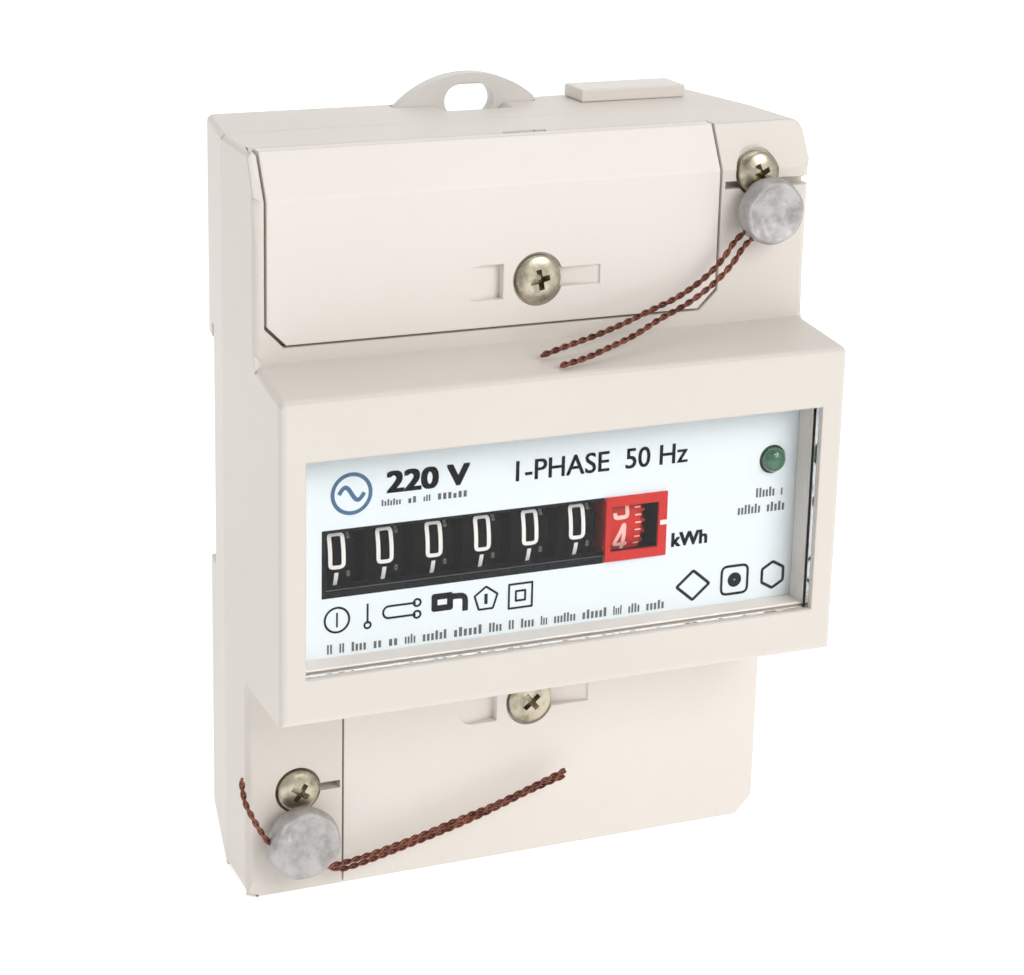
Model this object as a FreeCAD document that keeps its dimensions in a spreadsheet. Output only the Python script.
# Modular electricity meter with a seven-drum register, for a 35 mm mounting rail.
# Millimetres. +Z is up, the front faces -Y and +X is to the right, seen from the front.
# The origin is in the plane of the flat back, at the middle of the rail channel. Heights are
# written from the middle of the raised register housing, and moved to that origin at the end.
# A "depth" is a distance in front of that back face, so it is measured along -Y.
import FreeCAD, Part
import math
import os
import re
import Sketcher
from FreeCAD import Placement, Rotation, Vector

doc = FreeCAD.newDocument("electricity_meter")

# driving sizes
sizes = {
    # case
    "noseWidth": 84, "noseHeight": 45, "noseDepth": 42,
    "upperDepth": 30, "lowerDepth": 25, "caseTop": 52, "caseBottom": 55, "roofLine": 24.2,
    "seamDepth": 14, "seamWidth": 80.4, "backWidth": 75, "bottomRise": 4,
    "wall": 2, "frontWall": 4, "topBevelHeight": 6, "topBevelDepth": 3.2,
    # rail channel, latch and hanger
    "railMiddle": 5.7, "railHeight": 35.4, "railDepth": 4.8, "lipHeight": 2.2, "lipDepth": 3.4,
    "latchWidth": 16, "latchThickness": 2.2, "latchBack": 1,
    "hangerWidth": 21.6, "hangerThickness": 2.2, "hangerShows": 4.4,
    "hangerBack": 0.6, "hangerHoleAcross": 0.6, "hangerHoleRadius": 2.3, "hangerHoleSpan": 3,
    "springRadius": 1,
    # window, label and register
    "windowWidth": 76.6, "windowHeight": 30, "windowMiddle": -0.9,
    "lensFront": 41.2, "lensThickness": 1.5, "labelFront": 36, "labelThickness": 0.6,
    "plateMargin": 0.8,
    "drumRadius": 8.6, "rimWidth": 5.5, "drumPitch": 7.15, "firstDrum": -31.9,
    "drumAxisDepth": 26.4, "drumAxisHeight": -2.1, "axleRadius": 1, "pinionAxleRadius": 0.6,
    "apertureFoot": -5.9, "apertureHead": 2.2, "bezelBar": 1.4,
    "ledAcross": 33.9, "ledHeight": 5.4, "lightPipeRadius": 1.8,
    # covers
    "coverThickness": 2, "coverGap": 0.3, "upperCoverLeft": 39.4, "upperCoverRight": 26.9,
    "upperCoverFoot": 26.6, "lowerCoverLeft": 26.4, "lowerCoverHead": 24, "coverCorner": 2.7,
    "upperScrewAcross": -0.5, "upperScrewHeight": 32.8,
    "lowerScrewAcross": 2.3, "lowerScrewHeight": -31.2,
    "screwRadius": 1.5, "screwHeadRadius": 3.4, "screwHeadHeight": 1.6,
    "nutWidth": 5.6, "nutThickness": 1.5,
    # thumb ramp left of each cover screw and wire groove right of it, measured from the screw
    "rampFar": 11.4, "rampNear": 5.2, "rampHalf": 2.4, "rampDepth": 1.4, "rampShallow": 0.1,
    "grooveNear": 3, "grooveFar": 9.3, "grooveHalf": 1.3, "grooveDepth": 1.3, "grooveShallow": 0.35,
    "wireGrooveDepth": 2.2,
    # terminals
    "terminalFirst": -19, "terminalPitch": 14, "cableDepth": 10.6, "cableRadius": 3,
    "cableSlack": 0.8, "cageWidth": 8.8, "cageTop": -37, "cageFoot": -50.2, "cageBack": 7.2,
    "cageFront": 15.4,
    "terminalScrewRadius": 1.6, "terminalHeadRadius": 2.6,
    "pulseFirst": 18.5, "pulsePitch": 6, "pulseDepth": 4.6, "pulseRadius": 1.2,
    # electronics
    "boardBack": 10.5, "boardThickness": 1.6, "boardWidth": 70, "boardTop": 22, "boardFoot": -27,
    # case screws and seals
    "upperSealAcross": 32.7, "upperSealHeight": 45.4,
    "lowerSealAcross": -33.3, "lowerSealHeight": -39.6,
    "postRadius": 3, "sealScrewRadius": 1.4, "sealHeadRadius": 3.1,
    "upperDiscRadius": 4.8, "lowerDiscRadius": 5.4, "discThickness": 3.4, "wireDiameter": 0.9,
    # clearances
    "runFit": 0.05, "slideFit": 0.2, "seatFit": 0.03,
}

sheet = doc.addObject("Spreadsheet::Sheet", "Sizes")
for row, (alias, value) in enumerate(sizes.items(), start=1):
    sheet.set(f"A{row}", alias)
    sheet.set(f"B{row}", str(value))
    sheet.setAlias(f"B{row}", alias)
doc.recompute()

subparts = []


def named(text):
    # "wall * 2" becomes "Sizes.wall * 2"
    return re.sub(r"[A-Za-z]\w+", lambda word: f"Sizes.{word.group()}" if word.group() in sizes
                  else word.group(), str(text))


def bind(item, **expressions):
    for path, text in expressions.items():
        item.setExpression(path.replace("__", "."), named(text))


def box(name, x, y, z):
    # x, y and z are (low end, high end)
    item = doc.addObject("Part::Box", name)
    for length, axis, (low, high) in (("Length", "x", x), ("Width", "y", y), ("Height", "z", z)):
        item.setExpression(length, named(f"({high}) - ({low})"))
        item.setExpression(f"Placement.Base.{axis}", named(low))
    return item


turns = {"x": Rotation(Vector(0, 1, 0), 90), "y": Rotation(Vector(1, 0, 0), -90),
         "z": Rotation()}


def rod(name, axis, radius, start, end, centre):
    # a cylinder along one axis, from start to end; centre gives the other two coordinates
    item = doc.addObject("Part::Cylinder", name)
    item.Placement = Placement(Vector(), turns[axis])
    bind(item, Radius=radius, Height=f"({end}) - ({start})")
    places = dict(zip([other for other in "xyz" if other != axis], centre))
    places[axis] = start
    for other, text in places.items():
        item.setExpression(f"Placement.Base.{other}", named(text))
    return item


def taper(name, y, back, front):
    # a block whose section changes evenly from its back plane to its front plane;
    # y is (back plane, front plane), and each section is (half width, low z, high z)
    item = doc.addObject("Part::Wedge", name)
    bind(item, Ymin=y[1], Ymax=y[0],
         Xmin=f"-({front[0]})", Xmax=front[0], Zmin=front[1], Zmax=front[2],
         X2min=f"-({back[0]})", X2max=back[0], Z2min=back[1], Z2max=back[2])
    return item


def join(name, pieces):
    if len(pieces) == 1:
        return pieces[0]
    item = doc.addObject("Part::MultiFuse", name)
    item.Shapes = pieces
    return item


def cut(name, base, tools):
    item = doc.addObject("Part::Cut", name)
    item.Base = base
    item.Tool = join(f"{name}_tools", tools)
    return item


def common(name, first, second):
    item = doc.addObject("Part::Common", name)
    item.Base = first
    item.Tool = second
    return item


def group(name, pieces):
    item = doc.addObject("Part::Compound", name)
    item.Links = pieces
    return item


def pad(name, plane, outline, start, length):
    # a closed outline of (across, up) corners, padded from start along the plane's normal:
    # XZ looks at the front and pads forwards (-Y), YZ is a side section and pads to +X,
    # XY is a plan and pads upwards
    body = doc.addObject("PartDesign::Body", name)
    sketch = body.newObject("Sketcher::SketchObject", f"{name}_outline")
    origin = [item for item in body.Origin.OriginFeatures if item.Role == f"{plane}_Plane"][0]
    sketch.AttachmentSupport = [(origin, "")]
    sketch.MapMode = "FlatFace"
    sketch.setExpression("AttachmentOffset.Base.z", named(start))
    count = len(outline)
    corners = [Vector(math.cos(2 * math.pi * i / count), math.sin(2 * math.pi * i / count), 0)
               for i in range(count)]
    for i in range(count):
        sketch.addGeometry(Part.LineSegment(corners[i], corners[(i + 1) % count]), False)
    for i in range(count):
        sketch.addConstraint(Sketcher.Constraint("Coincident", i, 2, (i + 1) % count, 1))
    for i, (across, up) in enumerate(outline):
        for kind, text, value in (("DistanceX", across, corners[i].x),
                                  ("DistanceY", up, corners[i].y)):
            number = sketch.addConstraint(Sketcher.Constraint(kind, -1, 1, i, 1, value))
            sketch.setExpression(f"Constraints[{number}]", named(text))
    feature = body.newObject("PartDesign::Pad", f"{name}_pad")
    feature.Profile = sketch
    feature.setExpression("Length", named(length))
    return body


def keep(item, label):
    item.Label = label
    subparts.append(item)
    return item


def cornered(xLow, xHigh, zLow, zHigh, corner, clipped):
    # a rectangle whose clipped corners (of "ll", "lr", "ur", "ul") are cut at 45 degrees
    outline = []
    for spot, x, z, towards in (("ll", xLow, zLow, (1, 1)), ("lr", xHigh, zLow, (-1, 1)),
                                ("ur", xHigh, zHigh, (-1, -1)), ("ul", xLow, zHigh, (1, -1))):
        if spot not in clipped:
            outline.append((x, z))
            continue
        beside = (f"({x}) + {towards[0]} * ({corner})", z)
        upright = (x, f"({z}) + {towards[1]} * ({corner})")
        outline += [upright, beside] if spot in ("ll", "ur") else [beside, upright]
    return outline


def gearShape(teeth, root, tip, share, width, phase, bore):
    # a spur gear along +X from x = 0; share is how much of the pitch a tooth takes at its
    # root, and a tooth narrows to 60% of that at its tip; phase is where tooth 0 points
    points = []
    step = 2 * math.pi / teeth
    for tooth in range(teeth):
        middle = phase + tooth * step
        for radius, lean in ((root, -share), (tip, -0.6 * share * root / tip),
                             (tip, 0.6 * share * root / tip), (root, share)):
            angle = middle + lean * step / 2
            points.append(Vector(0, radius * math.cos(angle), radius * math.sin(angle)))
    outline = Part.makePolygon(points + points[:1])
    blank = Part.Face(outline).extrude(Vector(width, 0, 0))
    hole = Part.makeCylinder(bore, width + 2, Vector(-1, 0, 0), Vector(1, 0, 0))
    return blank.cut(hole)


def solid(name, shape, x=0, y=0, z=0):
    item = doc.addObject("Part::Feature", name)
    item.Shape = shape
    item.Placement = Placement(Vector(x, y, z), Rotation())
    return item


def size(alias):
    return float(sheet.get(alias))


# rear base
halfSeam, halfBack = "seamWidth / 2", "backWidth / 2"
seatDepth = "railDepth + wall"          # inside face behind the rail channel
railHead, railFoot = "(railMiddle + railHeight / 2)", "(railMiddle - railHeight / 2)"

shell = taper("base_blank", ("0", "-seamDepth"), (halfBack, "-caseBottom + bottomRise", "caseTop"),
              (halfSeam, "-caseBottom", "caseTop"))
upperRoom = taper("base_upper_room", ("-wall", "-seamDepth - 1"),
                  (f"{halfBack} - wall", f"{railHead} + wall", "caseTop - wall"),
                  (f"{halfSeam} - wall", f"{railHead} + wall", "caseTop - wall"))
lowerRoom = taper("base_lower_room", ("-wall", "-seamDepth - 1"),
                  (f"{halfBack} - wall", "-caseBottom + bottomRise + wall", f"{railFoot} - wall"),
                  (f"{halfSeam} - wall", "-caseBottom + wall", f"{railFoot} - wall"))
middleRoom = taper("base_middle_room", (f"-({seatDepth})", "-seamDepth - 1"),
                   (f"{halfBack} - wall", f"{railFoot} - wall - 1", f"{railHead} + wall + 1"),
                   (f"{halfSeam} - wall", f"{railFoot} - wall - 1", f"{railHead} + wall + 1"))
hollow = cut("base_hollow", shell, [upperRoom, lowerRoom, middleRoom])

# the latch runs in a boss that stands in the lower room
latchBoss = box("latch_boss", ("-latchWidth / 2 - wall", "latchWidth / 2 + wall"),
                ("-(latchBack + latchThickness + 1.8)", "-0.5"),
                ("-caseBottom + bottomRise + 1", f"{railFoot} - 1"))
posts = []
for name, across, height in (("upper", "upperSealAcross", "upperSealHeight"),
                             ("lower", "lowerSealAcross", "lowerSealHeight")):
    posts.append(rod(f"{name}_post", "y", "postRadius", "-seamDepth", "-1", (across, height)))
boardSpots = [(side, height) for side in (-1, 1) for height in ("boardTop - 4", "boardFoot + 4")]
for number, (side, height) in enumerate(boardSpots, start=1):
    posts.append(rod(f"board_post_{number}", "y", "2.4", "-boardBack", "-1",
                     (f"{side} * (boardWidth / 2 - 4)", height)))
solidBase = join("base_with_bosses", [hollow, latchBoss] + posts)

channel = [
    # the fixed lip at the top of the channel hooks behind the rail's upper flange
    box("rail_mouth", ("-60", "60"), ("-railDepth", "1"),
        (railFoot, f"{railHead} - lipHeight")),
    box("rail_groove", ("-60", "60"), ("-railDepth", "-lipDepth"), (railFoot, railHead)),
    # the latch's slot: wide inside, with a narrower mouth that keeps the latch in
    box("latch_slot", ("-latchWidth / 2 - slideFit", "latchWidth / 2 + slideFit"),
        ("-(latchBack + latchThickness + slideFit)", "-(latchBack - slideFit)"),
        ("-caseBottom - 1", f"{railFoot} + 1")),
    box("latch_mouth", ("-latchWidth / 2 + 2", "latchWidth / 2 - 2"), ("-latchBack", "1"),
        ("-caseBottom - 1", f"{railFoot} + 1")),
    # the hanger's slot and the notch in front of its hole
    box("hanger_slot", ("-hangerWidth / 2 - slideFit", "hangerWidth / 2 + slideFit"),
        ("-hangerBack - hangerThickness - 0.1", "-hangerBack + 0.1"), ("caseTop - 20", "caseTop + 1")),
    box("hanger_mouth", ("-hangerWidth / 2 + 2", "hangerWidth / 2 - 2"), ("-hangerBack", "1"),
        ("caseTop - 20", "caseTop + 1")),
    rod("hanger_notch", "y", "6.4", "-7", "1", ("hangerHoleAcross", "caseTop + 3.6")),
    box("plug_hole", ("17.5", "32"), ("-6", "-2.2"), ("caseTop - wall - 1", "caseTop + 1")),
]
hangerBack = box("hanger_back", ("-hangerWidth / 2 - wall", "hangerWidth / 2 + wall"),
                 ("-hangerBack - hangerThickness - wall", "-0.2"), ("caseTop - 22", "caseTop"))
solidBase = join("base_with_hanger_wall", [solidBase, hangerBack])
for number in range(4):
    channel.append(rod(f"base_cable_hole_{number + 1}", "z", "cableRadius + cableSlack",
                       "-caseBottom - 1", "-caseBottom + bottomRise + wall + 1",
                       (f"terminalFirst + {number} * terminalPitch", "-cableDepth")))
for name, across, height in (("upper", "upperSealAcross", "upperSealHeight"),
                             ("lower", "lowerSealAcross", "lowerSealHeight")):
    channel.append(rod(f"{name}_post_thread", "y", "sealScrewRadius + seatFit", "-seamDepth - 1",
                       "-5", (across, height)))
for number, (side, height) in enumerate(boardSpots, start=1):
    channel.append(rod(f"board_post_thread_{number}", "y", "1 + seatFit", "-boardBack - 1",
                       f"-({seatDepth}) + 0.4", (f"{side} * (boardWidth / 2 - 4)", height)))
cutBase = cut("base_with_slots", solidBase, channel)
# a peg in the latch's slot is the fixed end of the latch spring
springFoot, springHead = "-41.5", "-26"
peg = box("spring_peg", ("-2.6", "2.6"), ("-(latchBack + latchThickness + 1)", "-latchBack"),
          (f"{springFoot} - 2.4", springFoot))
keep(join("rear_base_solid", [cutBase, peg]), "rear_base")

# front housing
halfNose = "noseHeight / 2"
outer = pad("housing_section", "YZ", [
    ("-seamDepth", "caseTop"), ("-upperDepth + topBevelDepth", "caseTop"),
    ("-upperDepth", "caseTop - topBevelHeight"), ("-upperDepth", "roofLine"),
    ("-noseDepth", halfNose), ("-noseDepth", f"-{halfNose}"), ("-lowerDepth", f"-{halfNose}"),
    ("-lowerDepth", "-caseBottom"), ("-seamDepth", "-caseBottom")], "-noseWidth", "2 * noseWidth")
plan = taper("housing_plan", ("-seamDepth + 1", "-noseDepth - 1"),
             (halfSeam, "-caseBottom - 5", "caseTop + 5"),
             ("noseWidth / 2", "-caseBottom - 5", "caseTop + 5"))
block = common("housing_block", outer, plan)
inner = pad("housing_room_section", "YZ", [
    ("-seamDepth + 2", "caseTop - wall"),
    ("-upperDepth + topBevelDepth + frontWall", "caseTop - wall"),
    ("-upperDepth + frontWall", "caseTop - topBevelHeight - 1"),
    ("-upperDepth + frontWall", "roofLine - wall"),
    ("-noseDepth + wall", f"{halfNose} - wall"), ("-noseDepth + wall", f"-{halfNose} + wall"),
    ("-lowerDepth + frontWall", f"-{halfNose} + wall"),
    ("-lowerDepth + frontWall", "-caseBottom + wall"), ("-seamDepth + 2", "-caseBottom + wall")],
    "-noseWidth", "2 * noseWidth")
innerPlan = taper("housing_room_plan", ("-seamDepth + 3", "-noseDepth"),
                  (f"{halfSeam} - wall", "-caseBottom - 5", "caseTop + 5"),
                  ("noseWidth / 2 - wall", "-caseBottom - 5", "caseTop + 5"))
room = common("housing_room", inner, innerPlan)
emptied = cut("housing_shell", block, [room])

sealSpots = (("upper", "upperSealAcross", "upperSealHeight", "upperDepth"),
             ("lower", "lowerSealAcross", "lowerSealHeight", "lowerDepth"))
tubes = [rod(f"{name}_screw_tube", "y", "postRadius + 0.6", f"-{face} + 1", "-seamDepth - 0.1",
             (across, height)) for name, across, height, face in sealSpots]
# the window has a deep flange: the lens sits near its front and the label closes its back
flange = box("window_flange", ("-noseWidth / 2 + wall - 0.5", "noseWidth / 2 - wall + 0.5"),
             ("-noseDepth + wall - 0.2", "-labelFront - 0.02"),
             ("-noseHeight / 2 + wall - 0.2", "noseHeight / 2 - wall + 0.2"))
strengthened = join("housing_with_tubes", [emptied, flange] + tubes)

pocketDepth = "coverThickness + coverGap"
# the pocket that the upper cover slides out of follows the bevel at the top
upperPocket = pad("upper_pocket_section", "YZ", [
    ("-upperDepth - 1", "upperCoverFoot - coverGap"),
    (f"-upperDepth + {pocketDepth}", "upperCoverFoot - coverGap"),
    (f"-upperDepth + {pocketDepth}", "caseTop - topBevelHeight"),
    (f"-upperDepth + topBevelDepth + {pocketDepth}", "caseTop"),
    (f"-upperDepth + topBevelDepth + {pocketDepth}", "caseTop + 1"),
    ("-upperDepth - 1", "caseTop + 1")], "-upperCoverLeft - coverGap",
    "upperCoverLeft + upperCoverRight + 2 * coverGap")
upperPocketFace = pad("upper_pocket_outline", "XZ", cornered(
    "-upperCoverLeft - coverGap", "upperCoverRight + coverGap", "upperCoverFoot - coverGap",
    "caseTop + 2", "coverCorner", ("ll", "lr")), "upperDepth - 10", "12")
openings = [
    common("upper_pocket", upperPocket, upperPocketFace),
    box("window_opening", ("-windowWidth / 2", "windowWidth / 2"),
        ("-noseDepth - 1", "-lensFront + lensThickness"),
        ("windowMiddle - windowHeight / 2", "windowMiddle + windowHeight / 2")),
    box("window_well", ("-windowWidth / 2 + 0.5", "windowWidth / 2 - 0.5"),
        ("-noseDepth", "-labelFront + 1"),
        ("windowMiddle - windowHeight / 2 + 0.5", "windowMiddle + windowHeight / 2 - 0.5")),
    box("lower_pocket", ("-lowerCoverLeft - coverGap", "noseWidth"),
        ("-lowerDepth - 1", f"-lowerDepth + {pocketDepth}"),
        ("-caseBottom - 1", "-lowerCoverHead + coverGap")),
    # windows to the terminal screws, hidden by the covers
    box("upper_access", ("-34", "upperCoverRight - 1.5"), ("-upperDepth", "-upperDepth + frontWall + 4"),
        ("upperScrewHeight + 4.6", "caseTop - topBevelHeight")),
    box("lower_access", ("terminalFirst - terminalPitch / 2", "terminalFirst + 3.5 * terminalPitch"),
        ("-lowerDepth", "-lowerDepth + frontWall + 1"), ("-caseBottom + wall + 1.6", "cageTop + 0.8")),
]
for name, across, height, face, way, edge in (
        ("upper", "upperScrewAcross", "upperScrewHeight", "upperDepth", 1, "caseTop + 1"),
        ("lower", "lowerScrewAcross", "lowerScrewHeight", "lowerDepth", -1, "-caseBottom - 1")):
    # the cover's screw leaves through a slot that is open the way the cover slides,
    # and its square nut through a wider one beyond the first few millimetres
    low, high = ("({})".format(height), f"({edge})") if way > 0 else (f"({edge})", f"({height})")
    openings.append(box(f"{name}_shank_slot",
                        (f"{across} - screwRadius - slideFit", f"{across} + screwRadius + slideFit"),
                        (f"-{face} - 1", f"-{face} + frontWall + 2.5"), (low, high)))
    openings.append(rod(f"{name}_shank_end", "y", "screwRadius + slideFit", f"-{face} - 1",
                        f"-{face} + frontWall + 2.5", (across, height)))
    start = f"({height}) + {way} * 4.8"
    low, high = (start, f"({edge})") if way > 0 else (f"({edge})", start)
    openings.append(box(f"{name}_nut_slot",
                        (f"{across} - nutWidth / 2 - 0.4", f"{across} + nutWidth / 2 + 0.4"),
                        (f"-{face} + coverThickness", f"-{face} + frontWall + nutThickness + 0.6"),
                        (low, high)))
for name, across, height, face in sealSpots:
    openings.append(rod(f"{name}_seal_shank_hole", "y", "sealScrewRadius + 0.2", f"-{face} - 1",
                        "-seamDepth + 1",
                        (across, height)))
    openings.append(rod(f"{name}_seal_head_seat", "y", "sealHeadRadius + 0.3", f"-{face} - 1",
                        f"-{face} + 1.2",
                        (across, height)))
for number in range(4):
    openings.append(rod(f"front_cable_hole_{number + 1}", "z", "cableRadius + cableSlack",
                        "-caseBottom - 1", "-caseBottom + wall + 1",
                        (f"terminalFirst + {number} * terminalPitch", "-cableDepth")))
# short grooves beside the case screws, where the sealing wire passes
openings.append(box("upper_wire_groove", ("upperCoverRight + 0.8", "noseWidth / 2"),
                    ("-upperDepth - 1", "-upperDepth + wireGrooveDepth"),
                    ("upperSealHeight - 2.1", "upperSealHeight - 1")))
openings.append(box("lower_wire_groove", ("lowerSealAcross", "-lowerCoverLeft - 0.6"),
                    ("-lowerDepth - 1", "-lowerDepth + wireGrooveDepth"),
                    ("lowerSealHeight - 0.6", "lowerSealHeight + 0.6")))
keep(cut("front_housing_solid", strengthened, openings), "front_housing")

# terminal covers
upperPlate = pad("upper_cover_section", "YZ", [
    ("-upperDepth", "upperCoverFoot"), ("-upperDepth + coverThickness", "upperCoverFoot"),
    ("-upperDepth + coverThickness", "caseTop - topBevelHeight"),
    ("-upperDepth + topBevelDepth + coverThickness", "caseTop"),
    ("-upperDepth + topBevelDepth", "caseTop"), ("-upperDepth", "caseTop - topBevelHeight")],
    "-upperCoverLeft", "upperCoverLeft + upperCoverRight")
upperFace = pad("upper_cover_outline", "XZ",
                cornered("-upperCoverLeft", "upperCoverRight", "upperCoverFoot", "caseTop",
                         "coverCorner", ("ll", "lr")), "upperDepth - 10", "12")
upperBlank = common("upper_cover_blank", upperPlate, upperFace)
lowerBlank = pad("lower_cover_outline", "XZ",
                 cornered("-lowerCoverLeft", "seamWidth / 2 - 0.2", "-caseBottom", "-lowerCoverHead",
                          "coverCorner", ("lr",)), "lowerDepth - coverThickness", "coverThickness")
for name, blank, across, height, face in (
        ("upper", upperBlank, "upperScrewAcross", "upperScrewHeight", "upperDepth"),
        ("lower", lowerBlank, "lowerScrewAcross", "lowerScrewHeight", "lowerDepth")):
    # the head sits in a shallow well, with a wire groove to its right; a thumb ramp to its
    # left slides the cover off
    holes = [
        rod(f"{name}_cover_hole", "y", "screwRadius + seatFit", f"-{face} - 1",
            f"-{face} + coverThickness + 1",
            (across, height)),
        rod(f"{name}_cover_well", "y", "screwHeadRadius + 0.35", f"-{face} - 1", f"-{face} + 0.8",
            (across, height)),
        common(f"{name}_thumb_ramp", pad(f"{name}_ramp_section", "XY", [
            (f"{across} - rampFar", f"-{face} - 1"), (f"{across} - rampNear", f"-{face} - 1"),
            (f"{across} - rampNear", f"-{face} + rampDepth"),
            (f"{across} - rampFar", f"-{face} + rampShallow")],
            f"{height} - rampHalf", "2 * rampHalf"),
            join(f"{name}_ramp_outline", [
                rod(f"{name}_ramp_end", "y", "rampHalf", f"-{face} - 1", f"-{face} + rampDepth",
                    (f"{across} - rampFar + rampHalf", height)),
                box(f"{name}_ramp_run", (f"{across} - rampFar + rampHalf", f"{across} - rampNear"),
                    (f"-{face} - 1", f"-{face} + rampDepth"),
                    (f"{height} - rampHalf", f"{height} + rampHalf"))])),
        pad(f"{name}_right_groove", "XY", [
            (f"{across} + grooveNear", f"-{face} - 1"), (f"{across} + grooveFar", f"-{face} - 1"),
            (f"{across} + grooveFar", f"-{face} + grooveShallow"),
            (f"{across} + grooveNear", f"-{face} + grooveDepth")],
            f"{height} - grooveHalf", "2 * grooveHalf")]
    keep(cut(f"{name}_terminal_cover_solid", blank, holes), f"{name}_terminal_cover")
    # captive pan-head screw with a cross recess, and its square nut behind the bulkhead
    head = rod(f"{name}_cover_screw_head", "y", "screwHeadRadius", f"-{face} - screwHeadHeight + 0.8",
               f"-{face} + 0.8", (across, height))
    shank = rod(f"{name}_cover_screw_shank", "y", "screwRadius", f"-{face} + 0.5",
                f"-{face} + frontWall + nutThickness + 0.4", (across, height))
    recess = [box(f"{name}_cover_screw_recess_{arm}", (f"{across} - {wide}", f"{across} + {wide}"),
                  (f"-{face} - 2", f"-{face} - screwHeadHeight + 0.8 + 1"),
                  (f"{height} - {tall}", f"{height} + {tall}"))
              for arm, wide, tall in (("level", 2.1, 0.4), ("upright", 0.4, 2.1))]
    keep(cut(f"{name}_cover_screw_solid", join(f"{name}_cover_screw_blank", [head, shank]), recess),
         f"{name}_cover_screw")
    nut = box(f"{name}_nut_blank", (f"{across} - nutWidth / 2", f"{across} + nutWidth / 2"),
              (f"-{face} + frontWall + 0.1", f"-{face} + frontWall + 0.1 + nutThickness"),
              (f"{height} - nutWidth / 2", f"{height} + nutWidth / 2"))
    keep(cut(f"{name}_cover_nut_solid", nut, [rod(f"{name}_nut_thread", "y", "screwRadius + seatFit",
         f"-{face} + 1", f"-{face} + frontWall + 6", (across, height))]), f"{name}_cover_nut")

# window, label and bezel
lens = box("lens_blank", ("-windowWidth / 2 + 0.1", "windowWidth / 2 - 0.1"),
           ("-lensFront", "-lensFront + lensThickness"),
           ("windowMiddle - windowHeight / 2 + 0.1", "windowMiddle + windowHeight / 2 - 0.1"))
keep(lens, "window_lens")

bandLeft, bandRight = "firstDrum - rimWidth / 2 + 1.2", "firstDrum + 6 * drumPitch + 5.4"
faceplate = box("faceplate_blank", ("-windowWidth / 2 - plateMargin", "windowWidth / 2 + plateMargin"),
                ("-labelFront", "-labelFront + labelThickness"),
                (f"-{halfNose} + wall + 0.3", f"{halfNose} - wall - 0.3"))
plateHoles = [box("register_aperture", (bandLeft, bandRight), ("-labelFront - 1", "-labelFront + 2"),
                  ("apertureFoot", "apertureHead")),
              rod("led_aperture", "y", "lightPipeRadius + 0.3", "-labelFront - 1", "-labelFront + 2",
                  ("ledAcross", "ledHeight"))]
keep(cut("faceplate_solid", faceplate, plateHoles), "faceplate")

lastLeft = "firstDrum + 6 * drumPitch - drumPitch / 2 + 0.2"
bezel = box("bezel_blank", (lastLeft, f"{bandRight} + 0.8"), ("-labelFront - 0.5", "-labelFront"),
            ("apertureFoot - 0.9", "apertureHead + 0.4"))
bezelHole = box("bezel_hole", (f"{lastLeft} + 0.9", f"{bandRight} + 0.8 - bezelBar"),
                ("-labelFront - 2", "-labelFront + 2"),
                ("apertureFoot - 0.9 + bezelBar", "apertureHead + 0.4 - bezelBar"))
keep(cut("decimal_bezel_solid", bezel, [bezelHole]), "decimal_bezel")

# register
drums = 7
drumTeeth, pinionTeeth = 20, 8
drumModule = 0.7
drumPitchRadius = drumTeeth * drumModule / 2
pinionPitchRadius = pinionTeeth * drumModule / 2
pinionDistance = drumPitchRadius + pinionPitchRadius + 0.05
pinionAngle = math.radians(50)          # below the line that runs straight back
toothHeight = 0.38                      # above and below the pitch circle
ringWidth = 0.7
axisY, axisZ = -size("drumAxisDepth"), size("drumAxisHeight")
pinionWay = -pinionAngle                # direction from drum axis to pinion axis, in the YZ plane
pinionY = axisY + pinionDistance * math.cos(pinionWay)
pinionZ = axisZ + pinionDistance * math.sin(pinionWay)
halfRim = size("rimWidth") / 2
drumBore = size("axleRadius") + size("runFit")

for number in range(1, drums + 1):
    middle = f"firstDrum + {number - 1} * drumPitch"
    middleAt = size("firstDrum") + (number - 1) * size("drumPitch")
    rim = rod(f"drum_{number}_rim", "x", "drumRadius", f"{middle} - rimWidth / 2",
              f"{middle} + rimWidth / 2",
              ("-drumAxisDepth", "drumAxisHeight"))
    bore = rod(f"drum_{number}_bore", "x", "axleRadius + runFit", f"{middle} - rimWidth",
               f"{middle} + rimWidth",
               ("-drumAxisDepth", "drumAxisHeight"))
    pieces = [cut(f"drum_{number}_hub", rim, [bore])]
    if number < drums:                  # gear ring that its carry pinion drives
        ring = gearShape(drumTeeth, drumPitchRadius - toothHeight - 0.12, drumPitchRadius + toothHeight,
                         0.42, ringWidth, pinionWay, drumBore)
        pieces.append(solid(f"drum_{number}_ring", ring, middleAt + halfRim, axisY, axisZ))
    if number > 1:                      # two carry teeth, cut short of the pinion
        carry = gearShape(2, 5.2, 6.1, 0.08, 0.5, pinionWay + math.pi / 2, drumBore)
        pieces.append(solid(f"drum_{number}_carry", carry, middleAt - halfRim - 0.5, axisY, axisZ))
    if number == drums:                 # spur gear that the motor's gear train drives
        reductionAngle = math.radians(60)   # above the line that runs straight back
        drive = gearShape(30, 7.5 - 0.42, 7.5 + 0.32, 0.42, 1.1, reductionAngle, drumBore)
        pieces.append(solid("drum_drive_gear", drive, middleAt + halfRim, axisY, axisZ))
    keep(join(f"drum_{number}_solid", pieces), f"drum_{number}")

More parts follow.
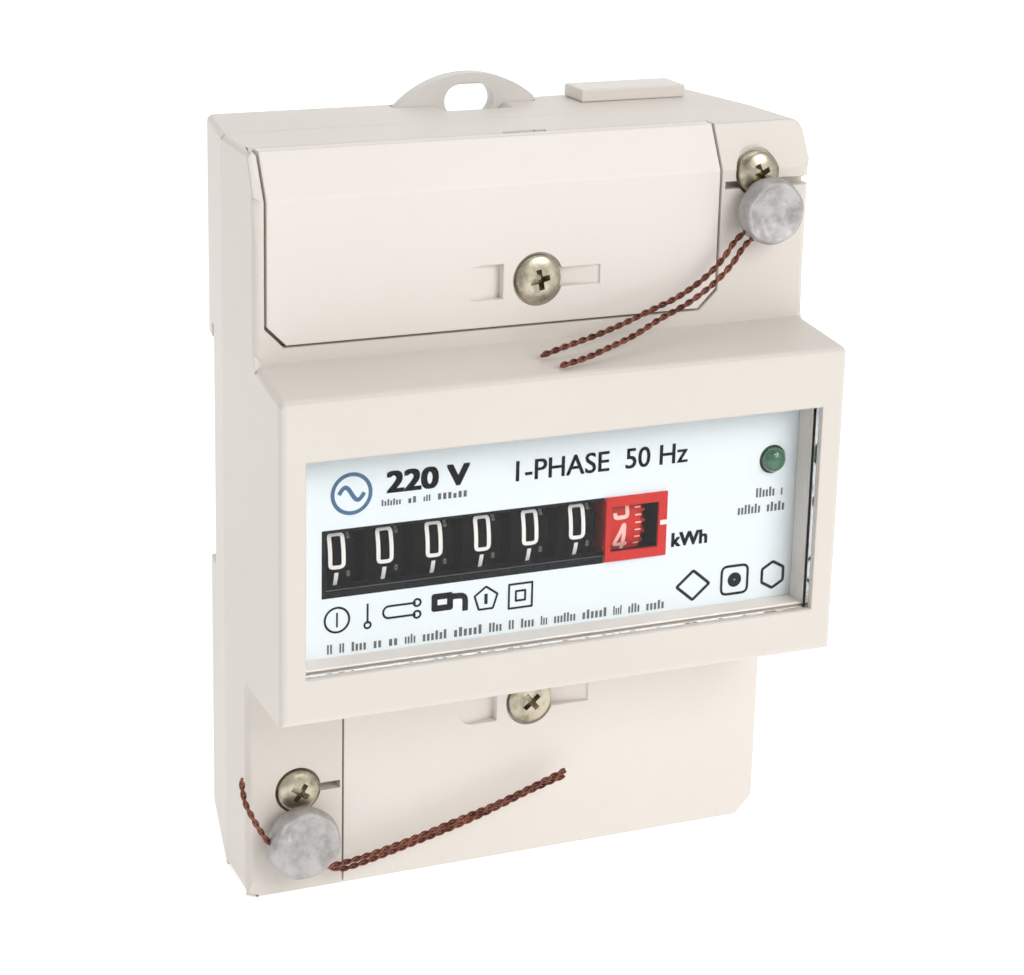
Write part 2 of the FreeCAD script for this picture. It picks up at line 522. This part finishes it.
for number in range(1, drums):
    start = size("firstDrum") + (number - 1) * size("drumPitch") + halfRim + 0.15
    pinionWidth = size("drumPitch") - size("rimWidth") - 0.3
    pinion = gearShape(pinionTeeth, pinionPitchRadius - toothHeight - 0.12, pinionPitchRadius + toothHeight,
                       0.42,
                       pinionWidth, pinionWay + math.pi + math.pi / pinionTeeth,
                       size("pinionAxleRadius") + size("runFit"))
    keep(solid(f"carry_pinion_{number}_solid", pinion, start, pinionY, pinionZ), f"carry_pinion_{number}")

frameLeft, frameRight = "firstDrum - rimWidth / 2 - 1.9", "firstDrum + 6 * drumPitch + 7.4"
cheekThickness = "1.2"
keep(rod("drum_axle_rod", "x", "axleRadius", frameLeft, frameRight, ("-drumAxisDepth", "drumAxisHeight")),
     "drum_axle")
keep(rod("pinion_axle_rod", "x", "pinionAxleRadius", frameLeft, frameRight, (str(pinionY), str(pinionZ))),
     "pinion_axle")

# gear train from the motor: a wheel of 32 teeth with a pinion of 10, and the rotor's 8
reductionDistance = 7.5 + 2.5 + 0.05
reductionY = axisY + reductionDistance * math.cos(reductionAngle)
reductionZ = axisZ + reductionDistance * math.sin(reductionAngle)
rotorAngle = math.radians(135)          # from the wheel's axis: up and forwards
rotorDistance = 6.4 + 1.6 + 0.05
rotorY = reductionY + rotorDistance * math.cos(rotorAngle)
rotorZ = reductionZ + rotorDistance * math.sin(rotorAngle)
driveStart = size("firstDrum") + 6 * size("drumPitch") + halfRim
pinionShaft = 0.5
small = gearShape(10, 2.5 - 0.42, 2.5 + 0.32, 0.42, 1.6, reductionAngle + math.pi + math.pi / 10,
                  pinionShaft + size("runFit"))
wheel = gearShape(32, 6.4 - 0.34, 6.4 + 0.26, 0.42, 0.9, rotorAngle, pinionShaft + size("runFit"))
small.translate(Vector(driveStart + 0.1, reductionY, reductionZ))
wheel.translate(Vector(driveStart + 1.7, reductionY, reductionZ))
keep(solid("reduction_gear_solid", small.fuse(wheel).removeSplitter()), "reduction_gear")
keep(rod("reduction_shaft_rod", "x", str(pinionShaft), str(driveStart - 0.4), frameRight,
         (str(reductionY), str(reductionZ))),
     "reduction_shaft")

rotorPinion = gearShape(8, 1.6 - 0.34, 1.6 + 0.26, 0.42, 1.1, rotorAngle + math.pi + math.pi / 8, 0.3)
rotorPinion.translate(Vector(driveStart + 1.6, rotorY, rotorZ))
rotorShaft = Part.makeCylinder(0.6, 12, Vector(driveStart + 1.6, rotorY, rotorZ), Vector(1, 0, 0))
magnet = Part.makeCylinder(3, 5.6, Vector(driveStart + 6.6, rotorY, rotorZ), Vector(1, 0, 0))
keep(solid("motor_rotor_solid", rotorPinion.fuse(rotorShaft).fuse(magnet).removeSplitter()), "motor_rotor")

# counter frame: a back plate with a cheek at each end, bored for the axles
frameBack, frameFront = "-13.2", "-34.6"
frameFoot, frameTop = "-14.4", "13.6"
backPlate = box("frame_back", (frameLeft, frameRight), ("-14.4", frameBack), (frameFoot, frameTop))
cheeks = [box(f"frame_cheek_{side}", ends, (frameFront, "-13.6"), (frameFoot, low))
          for side, ends, low in (("left", (frameLeft, f"{frameLeft} + {cheekThickness}"), "8"),
                                  ("right", (f"{frameRight} - {cheekThickness}", frameRight), frameTop))]
frameHoles = [
    rod("frame_axle_hole", "x", "axleRadius + seatFit", "-60", "60", ("-drumAxisDepth", "drumAxisHeight")),
    rod("frame_pinion_hole", "x", "pinionAxleRadius + seatFit", "-60", "60", (str(pinionY), str(pinionZ))),
    rod("frame_reduction_hole", "x", f"{pinionShaft} + seatFit", "0", "60",
        (str(reductionY), str(reductionZ))),
    rod("frame_rotor_hole", "x", "1", "0", "60", (str(rotorY), str(rotorZ)))]
keep(cut("counter_frame_solid", join("counter_frame_blank", [backPlate] + cheeks), frameHoles),
     "counter_frame")

# motor: a round can on the right cheek, with the coil round the rotor chamber
canStart = f"{frameRight} + 0.05"
can = rod("motor_can_blank", "x", "6", canStart, f"{canStart} + 9.6", (str(rotorY), str(rotorZ)))
canRoom = rod("motor_can_room", "x", "5.2", f"{canStart} + 0.8", f"{canStart} + 8.8",
              (str(rotorY), str(rotorZ)))
canHole = rod("motor_can_hole", "x", "0.7", f"{canStart} - 1", f"{canStart} + 12",
              (str(rotorY), str(rotorZ)))
keep(cut("motor_can_solid", can, [canRoom, canHole]), "motor_can")
coil = rod("motor_coil_blank", "x", "5.15", f"{canStart} + 1", f"{canStart} + 8.6",
           (str(rotorY), str(rotorZ)))
coilHole = rod("motor_coil_hole", "x", "3.3", f"{canStart} - 1", f"{canStart} + 12",
               (str(rotorY), str(rotorZ)))
keep(cut("motor_coil_solid", coil, [coilHole]), "motor_coil")

# circuit board
boardFront = "boardBack + boardThickness"
board = box("board_blank", ("-boardWidth / 2", "boardWidth / 2"), (f"-({boardFront})", "-boardBack"),
            ("boardFoot", "boardTop"))
boardHoles = [rod(f"board_hole_{number}", "y", "1.15", f"-({boardFront}) - 1", "-boardBack + 1",
                  (f"{side} * (boardWidth / 2 - 4)", height))
              for number, (side, height) in enumerate(boardSpots, start=1)]
keep(cut("main_board_solid", board, boardHoles), "main_circuit_board")
screws = []
for number, (side, height) in enumerate(boardSpots, start=1):
    spot = (f"{side} * (boardWidth / 2 - 4)", height)
    screws.append(join(f"board_screw_{number}", [
        rod(f"board_screw_head_{number}", "y", "2", f"-({boardFront}) - 1.4", f"-({boardFront})", spot),
        rod(f"board_screw_shank_{number}", "y", "1", f"-({boardFront}) - 0.5", f"-({seatDepth})", spot)]))
keep(group("board_screws_group", screws), "board_screws")
on = f"-({boardFront})"
keep(box("supply_capacitor_box", ("-28", "-11"), (f"{on} - 9", on), ("14.4", "20")), "supply_capacitor")
keep(rod("smoothing_capacitor_can", "x", "3.1", "-8", "4", (f"{on} - 3.4", "17.6")), "smoothing_capacitor")
keep(rod("varistor_disc", "x", "3.4", "7", "10.2", (f"{on} - 3.6", "18.2")), "surge_varistor")
keep(box("metering_chip_box", ("21.5", "29.5"), (f"{on} - 1.3", on), ("-8.5", "-0.5")), "metering_chip")
keep(box("optocoupler_box", ("21.5", "26.5"), (f"{on} - 3", on), ("-18", "-12.5")), "pulse_optocoupler")
keep(rod("pulse_led_body", "y", "1.5", f"{on} - 3", on, ("ledAcross", "ledHeight")), "pulse_led")
keep(rod("led_light_pipe_rod", "y", "lightPipeRadius", "-labelFront - 0.3", f"{on} - 3.1",
         ("ledAcross", "ledHeight")),
     "led_light_pipe")

# mains terminals
blockLow, blockHigh = "terminalFirst - terminalPitch / 2 - 0.4", "terminalFirst + 3.5 * terminalPitch + 0.4"
blockFront = "18.4"
terminalBlock = box("terminal_block_blank", (blockLow, blockHigh), (f"-{blockFront}", "-6.9"),
                    ("cageFoot - 0.2", "cageTop + 2"))
pockets, cages, terminalScrews = [], [], []
for number in range(4):
    x = f"terminalFirst + {number} * terminalPitch"
    pockets.append(box(f"cage_pocket_{number}",
                       (f"{x} - cageWidth / 2 - 0.05", f"{x} + cageWidth / 2 + 0.05"),
                       ("-cageFront - 0.05", "-cageBack + 0.05"), ("-caseBottom", "cageTop + 0.02")))
    cage = box(f"cage_blank_{number}", (f"{x} - cageWidth / 2", f"{x} + cageWidth / 2"),
               ("-cageFront", "-cageBack"), ("cageFoot", "cageTop"))
    bores = [rod(f"cage_bore_{number}", "z", "cableRadius", "cageFoot - 1", "cageTop + 1",
                 (x, "-cableDepth"))]
    for row, height in enumerate(("cageFoot + 3.6", "cageTop - 3.6")):
        bores.append(rod(f"cage_thread_{number}_{row}", "y", "terminalScrewRadius + seatFit",
                         "-cageFront - 1",
                         "-cableDepth", (x, height)))
        pockets.append(rod(f"screw_well_{number}_{row}", "y", "terminalHeadRadius + 0.3",
                           f"-{blockFront} - 1",
                           "-cageFront + 0.5", (x, height)))
        head = rod(f"terminal_head_{number}_{row}", "y", "terminalHeadRadius", "-cageFront - 2.2",
                   "-cageFront", (x, height))
        shank = rod(f"terminal_shank_{number}_{row}", "y", "terminalScrewRadius", "-cageFront - 1",
                    "-cableDepth - cableRadius - 0.2", (x, height))
        slot = box(f"terminal_slot_{number}_{row}", (f"{x} - 3", f"{x} + 3"),
                   ("-cageFront - 3", "-cageFront - 1.3"),
                   (f"{height} - 0.4", f"{height} + 0.4"))
        terminalScrews.append(cut(f"terminal_screw_{number}_{row}",
                                  join(f"terminal_screw_blank_{number}_{row}",
                                                                         [head, shank]), [slot]))
    cages.append(cut(f"cage_{number}", cage, bores))
# the shunt joins the two line cages and a plain link joins the two neutral ones;
# each is a flat strip on the cages' top faces, in a slot in the block's roof
strips = []
for name, first in (("current_shunt", 0), ("neutral_link", 2)):
    ends = (f"terminalFirst + {first} * terminalPitch - 3",
            f"terminalFirst + {first + 1} * terminalPitch + 3")
    pockets.append(box(f"{name}_slot", (f"{ends[0]} - 0.3", f"{ends[1]} + 0.3"), ("-14.3", "-7.7"),
                       ("cageTop - 0.5", "cageTop + 3")))
    strip = box(f"{name}_strip", ends, ("-14", "-8"), ("cageTop", "cageTop + 1.1"))
    middle = f"terminalFirst + {first + 0.5} * terminalPitch"
    waist = [rod(f"{name}_waist_{edge}", "z", "2.2", "cageTop - 1", "cageTop + 2", (middle, edge))
             for edge in ("-14.6", "-7.4")]
    strips.append((name, cut(f"{name}_solid", strip, waist) if first == 0 else strip))
keep(cut("terminal_block_solid", terminalBlock, pockets), "mains_terminal_block")
for name, strip in strips:
    keep(strip, name)
keep(group("cages_group", cages), "mains_terminal_cages")
keep(group("terminal_screws_group", terminalScrews), "mains_terminal_screws")


# pulse output terminals
pulseBlock = box("pulse_block_blank", ("pulseFirst - 3.6", "pulseFirst + pulsePitch + 3.6"),
                 ("-15", "-2.2"),
                 ("36.5", "47.6"))
pulsePockets, pulseCages, pulseScrews = [], [], []
for number in range(2):
    x = f"pulseFirst + {number} * pulsePitch"
    height = "42"
    pulsePockets += [
        box(f"pulse_pocket_{number}", (f"{x} - 2.05", f"{x} + 2.05"), ("-8.55", "-2.55"), ("38.45", "48")),
        rod(f"pulse_well_{number}", "y", "2.1", "-16", "-8.5", (x, height))]
    bores = [rod(f"pulse_bore_{number}", "z", "pulseRadius", "38", "48", (x, "-pulseDepth")),
             rod(f"pulse_thread_{number}", "y", "1 + seatFit", "-9", "-pulseDepth", (x, height))]
    pulseCages.append(cut(f"pulse_cage_{number}",
                          box(f"pulse_cage_blank_{number}", (f"{x} - 2", f"{x} + 2"),
                                                      ("-8.5", "-2.6"), ("38.5", "46.6")), bores))
    head = rod(f"pulse_head_{number}", "y", "1.8", "-9.9", "-8.5", (x, height))
    shank = rod(f"pulse_shank_{number}", "y", "1", "-9", "-6", (x, height))
    slot = box(f"pulse_slot_{number}", (f"{x} - 2", f"{x} + 2"), ("-11", "-9.3"),
               (f"{height} - 0.3", f"{height} + 0.3"))
    pulseScrews.append(cut(f"pulse_screw_{number}", join(f"pulse_screw_blank_{number}", [head, shank]),
                           [slot]))
keep(cut("pulse_block_solid", pulseBlock, pulsePockets), "pulse_terminal_block")
keep(group("pulse_cages_group", pulseCages), "pulse_terminal_cages")
keep(group("pulse_screws_group", pulseScrews), "pulse_terminal_screws")

# the plug closes the pulse wires' entry hole in the top wall
plugHead = box("plug_head", ("16.5", "33"), ("-6.8", "-0.9"), ("caseTop", "caseTop + 1.9"))
plugNeck = box("plug_neck", ("17.7", "31.8"), ("-5.8", "-2.4"), ("caseTop - wall + 0.1", "caseTop + 0.5"))
keep(join("entry_plug_solid", [plugHead, plugNeck]), "entry_plug")

# hanger, rail latch and spring
hangerRise = "(hangerWidth * hangerWidth / 4 + hangerShows * hangerShows) / (2 * hangerShows)"
disc = rod("hanger_disc", "y", hangerRise, "-hangerBack - hangerThickness", "-hangerBack",
           ("hangerHoleAcross", f"caseTop + hangerShows - {hangerRise}"))
plate = box("hanger_plate", ("-hangerWidth / 2", "hangerWidth / 2"),
            ("-hangerBack - hangerThickness", "-hangerBack"),
            ("caseTop - 14", "caseTop + 10"))
hangerHole = [rod(f"hanger_hole_{side}", "y", "hangerHoleRadius", "-10", "1",
                  (f"hangerHoleAcross + {side} * hangerHoleSpan / 2", "caseTop + 0.5")) for side in (-1, 1)]
hangerHole.append(box("hanger_hole_middle",
                      ("hangerHoleAcross - hangerHoleSpan / 2", "hangerHoleAcross + hangerHoleSpan / 2"),
                      ("-10", "1"),
                      ("caseTop + 0.5 - hangerHoleRadius", "caseTop + 0.5 + hangerHoleRadius")))
keep(cut("wall_hanger_solid", common("hanger_outline", plate, disc), hangerHole), "wall_hanger")

latchDepths = ("-(latchBack + latchThickness)", "-latchBack")
latchBar = box("latch_bar", ("-latchWidth / 2", "latchWidth / 2"), latchDepths,
               ("-caseBottom - 1", f"{railFoot} + lipHeight"))
latchHoles = [box("latch_window", ("-3", "3"), ("-10", "1"), (f"{springFoot} - 2.8", springHead)),
              box("latch_pull_hole", ("-3", "3"), ("-10", "1"), ("-caseBottom + 0.2", "-caseBottom + 2.4"))]
keep(cut("din_latch_solid", latchBar, latchHoles), "din_latch")
spring = rod("spring_tube", "z", "springRadius", springFoot, springHead,
             ("0", "-(latchBack + latchThickness / 2)"))
springHole = rod("spring_hole", "z", "springRadius - 0.4", f"{springFoot} - 1", f"{springHead} + 1",
                 ("0", "-(latchBack + latchThickness / 2)"))
keep(cut("latch_spring_solid", spring, [springHole]), "latch_spring")

# case screws and seals
caseScrews = []
for name, across, height, face in sealSpots:
    head = rod(f"{name}_case_screw_head", "y", "sealHeadRadius", f"-{face} - 1.2", f"-{face} + 1.2",
               (across, height))
    shank = rod(f"{name}_case_screw_shank", "y", "sealScrewRadius", f"-{face} + 1", "-5.5",
                (across, height))
    recess = [box(f"{name}_case_screw_recess_{arm}", (f"{across} - {wide}", f"{across} + {wide}"),
                  (f"-{face} - 2", f"-{face} - 0.4"), (f"{height} - {tall}", f"{height} + {tall}"))
              for arm, wide, tall in (("level", 1.9, 0.4), ("upright", 0.4, 1.9))]
    # the sealing wire passes through a cross hole in the head
    recess.append(rod(f"{name}_wire_hole", "x", "0.5", f"{across} - 4", f"{across} + 4",
                      (f"-{face} + 0.3", height)))
    caseScrews.append(cut(f"{name}_case_screw", join(f"{name}_case_screw_blank", [head, shank]), recess))
keep(group("case_screws_group", caseScrews), "case_screws")

discSpots = (("upper", "upperDiscRadius", "upperDepth", (33.4, 40.5)),
             ("lower", "lowerDiscRadius", "lowerDepth", (-33.6, -46.3)))
for name, radius, face, (x, z) in discSpots:
    keep(rod(f"{name}_seal_disc_solid", "y", radius, f"-{face} - 1.4 - discThickness", f"-{face} - 1.4",
             (str(x), str(z))), f"{name}_seal_disc")


def wireSolid(name, route, diameter):
    # a round wire along straight runs joined by tangent arcs, each as large as its runs allow
    points = [Vector(*point) for point in route]
    edges, last, radii = [], points[0], []
    for before, corner, after in zip(points, points[1:], points[2:]):
        arriving, leaving = corner - before, after - corner
        shorter = min(arriving.Length, leaving.Length)
        turn = arriving.getAngle(leaving)
        reach = 0.45 * shorter
        radii.append(round(reach / math.tan(turn / 2), 1))
        arriving.normalize()
        leaving.normalize()
        start, end = corner - arriving * reach, corner + leaving * reach
        inward = (leaving - arriving).normalize()
        centreGap = radii[-1] if turn < 1e-6 else reach / math.tan(turn / 2) / math.cos(turn / 2)
        middle = corner + inward * (centreGap - reach / math.tan(turn / 2))
        edges += [Part.LineSegment(last, start).toShape(), Part.Arc(start, middle, end).toShape()]
        last = end
    edges.append(Part.LineSegment(last, points[-1]).toShape())
    path = Part.Wire(edges)
    circle = Part.Wire(Part.makeCircle(diameter / 2, points[0], points[1] - points[0]))
    tube = path.makePipeShell([circle], True, True)
    share = tube.Volume / (math.pi * diameter ** 2 / 4 * path.Length)
    print(f"{name}: length {path.Length:.1f}, radii {radii}, volume share {share:.4f}")
    return tube


# each seal has two wire ends; the lower seal's first wire also comes out at its left
wireRoutes = {
    "upper_seal_wire_left": [
        (30.4, -32.8, 38.2), (28.4, -32.9, 37.3), (26.3, -33.2, 34.4), (23.2, -33.4, 31.7),
                             (19.0, -33.6, 29.4),
        (14.6, -34.2, 28.2), (10.4, -34.9, 26.9), (5.6, -35.4, 25.6), (1.2, -36.2, 24.9),
                             (-2.9, -36.8, 24.0)],
    "upper_seal_wire_right": [
        (31.0, -33.2, 37.2), (29.0, -34.0, 36.4), (27.0, -34.3, 33.6), (23.8, -34.5, 30.9),
                              (19.6, -34.9, 28.6),
        (15.2, -35.8, 27.3), (10.9, -37.0, 25.6), (6.6, -38.2, 24.7), (2.2, -39.4, 23.7),
                              (-1.6, -40.2, 23.4)],
    "lower_seal_wire_through": [
        (-42.3, -27.0, -35.6), (-42.2, -27.1, -38.6), (-41.0, -27.6, -41.4), (-39.9, -28.0, -43.6),
        (-38.0, -28.2, -46.6), (-34.6, -28.2, -49.2), (-30.4, -28.3, -50.6), (-25.6, -28.5, -50.0),
        (-20.6, -28.7, -48.9), (-15.4, -28.6, -47.8), (-10.0, -28.9, -46.2), (-4.6, -28.8, -45.0),
                                (1.2, -29.1, -42.9),
        (6.4, -29.0, -41.2)],
    "lower_seal_wire_right": [
        (-30.8, -27.2, -50.2), (-28.6, -27.3, -52.0), (-24.4, -27.3, -51.4), (-19.2, -27.5, -50.1),
                              (-14.0, -27.5, -48.9),
        (-8.6, -27.8, -47.4), (-3.4, -27.8, -45.8), (1.8, -27.9, -43.9), (6.8, -27.9, -42.6)],
}
for name, route in wireRoutes.items():
    keep(solid(f"{name}_solid", wireSolid(name, route, size("wireDiameter"))), name)

# build, check and write
# the heights above start at the housing's middle, and the rail's middle is railMiddle higher
for item in subparts:
    height = dict(item.ExpressionEngine).get(".Placement.Base.z", item.Placement.Base.z)
    item.setExpression("Placement.Base.z", f"({height}) - Sizes.railMiddle")
doc.recompute()
for item in doc.Objects:
    if "Invalid" in item.State or "Error" in item.State:
        raise RuntimeError(f"{item.Name} failed: {item.State}")
os.makedirs("parts", exist_ok=True)
for item in subparts:
    shape = item.Shape
    if shape.isNull() or not shape.isValid() or not shape.Solids:
        raise RuntimeError(f"{item.Label} has no valid solid")
for item in subparts:
    item.Shape.exportStep(f"parts/{item.Label}.step")
print(f"{len(subparts)} sub-parts, {sum(len(item.Shape.Solids) for item in subparts)} solids")
